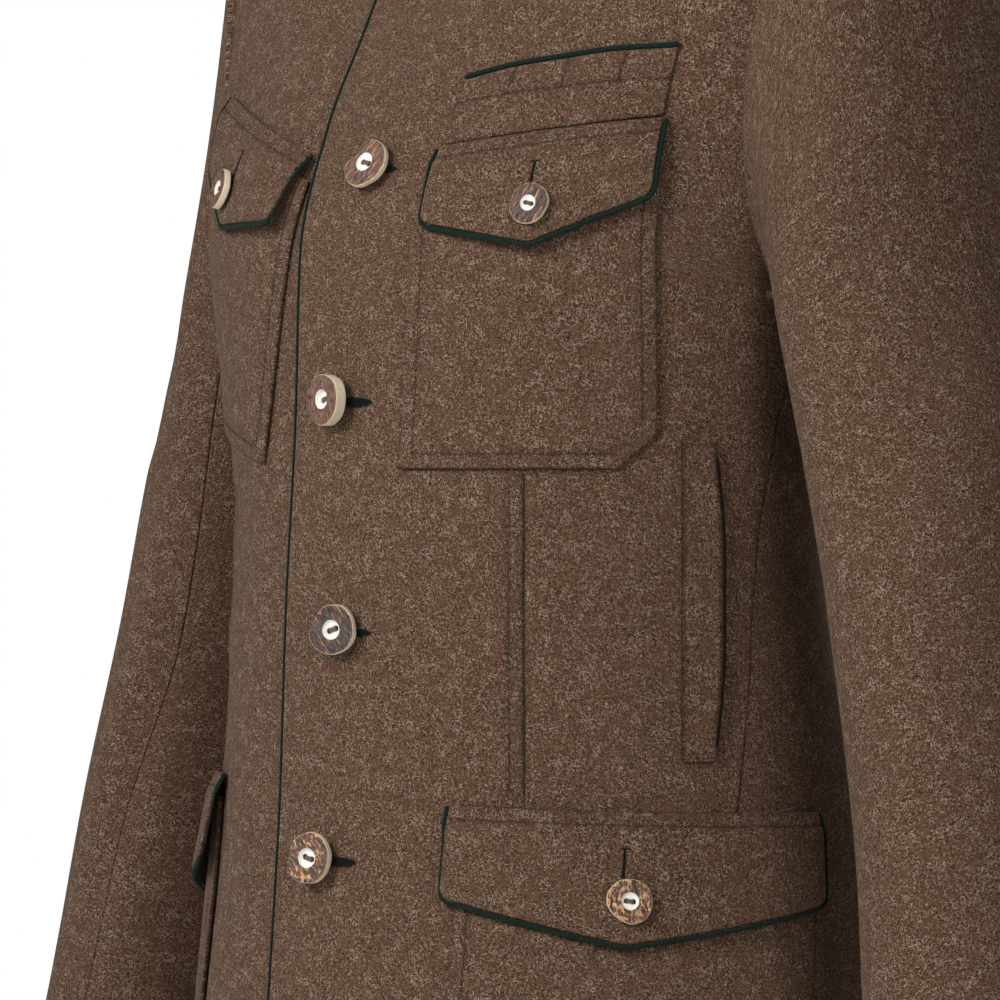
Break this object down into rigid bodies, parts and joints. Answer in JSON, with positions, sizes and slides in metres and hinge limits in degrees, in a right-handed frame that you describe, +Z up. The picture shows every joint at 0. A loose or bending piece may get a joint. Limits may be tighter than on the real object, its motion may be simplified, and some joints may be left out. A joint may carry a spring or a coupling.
{
  "type": "tyrolean loden jacket",
  "caption": "Hip-length loden jacket with a stand collar, flapped pockets, green piping and horn buttons, standing hollow as it is worn.",
  "frame": {"origin": "between the shoulders at the height of the nape, where the wearer carries it", "axes": "+Z up, the front faces -Y, the wearer's left is +X"},
  "size_m": [0.6842, 0.303, 0.8178],
  "materials": {
    "loden": "heathered brown wool, napped and matt",
    "green_trim": "dark green felted wool cord",
    "horn": "sawn stag horn, waxed"
  },
  "bodies": {
    "root": {"back": "loden", "breast_button_left": "horn", "breast_button_right": "horn", "breast_flap_left": "loden", "breast_flap_piping_left": "green_trim", "breast_flap_piping_right": "green_trim", "breast_flap_right": "loden", "breast_pocket_left": "loden", "breast_pocket_right": "loden", "breast_welt_left": "loden", "breast_welt_piping_left": "green_trim", "buttonhole_1": "green_trim", "buttonhole_2": "green_trim", "buttonhole_3": "green_trim", "buttonhole_4": "green_trim", "buttonhole_5": "green_trim", "collar": "loden", "front_button_1": "horn", "front_button_2": "horn", "front_button_3": "horn", "front_button_4": "horn", "front_button_5": "horn", "front_edge_piping": "green_trim", "front_left": "loden", "front_right": "loden", "hand_welt_left": "loden", "hand_welt_right": "loden", "lower_button_left": "horn", "lower_button_right": "horn", "lower_flap_left": "loden", "lower_flap_piping_left": "green_trim", "lower_flap_piping_right": "green_trim", "lower_flap_right": "loden", "lower_pocket_left": "loden", "lower_pocket_right": "loden", "side_panel_left": "loden", "side_panel_right": "loden", "sleeve_top_left": "loden", "sleeve_top_right": "loden", "sleeve_under_left": "loden", "sleeve_under_right": "loden"}
  },
  "joints": []
}
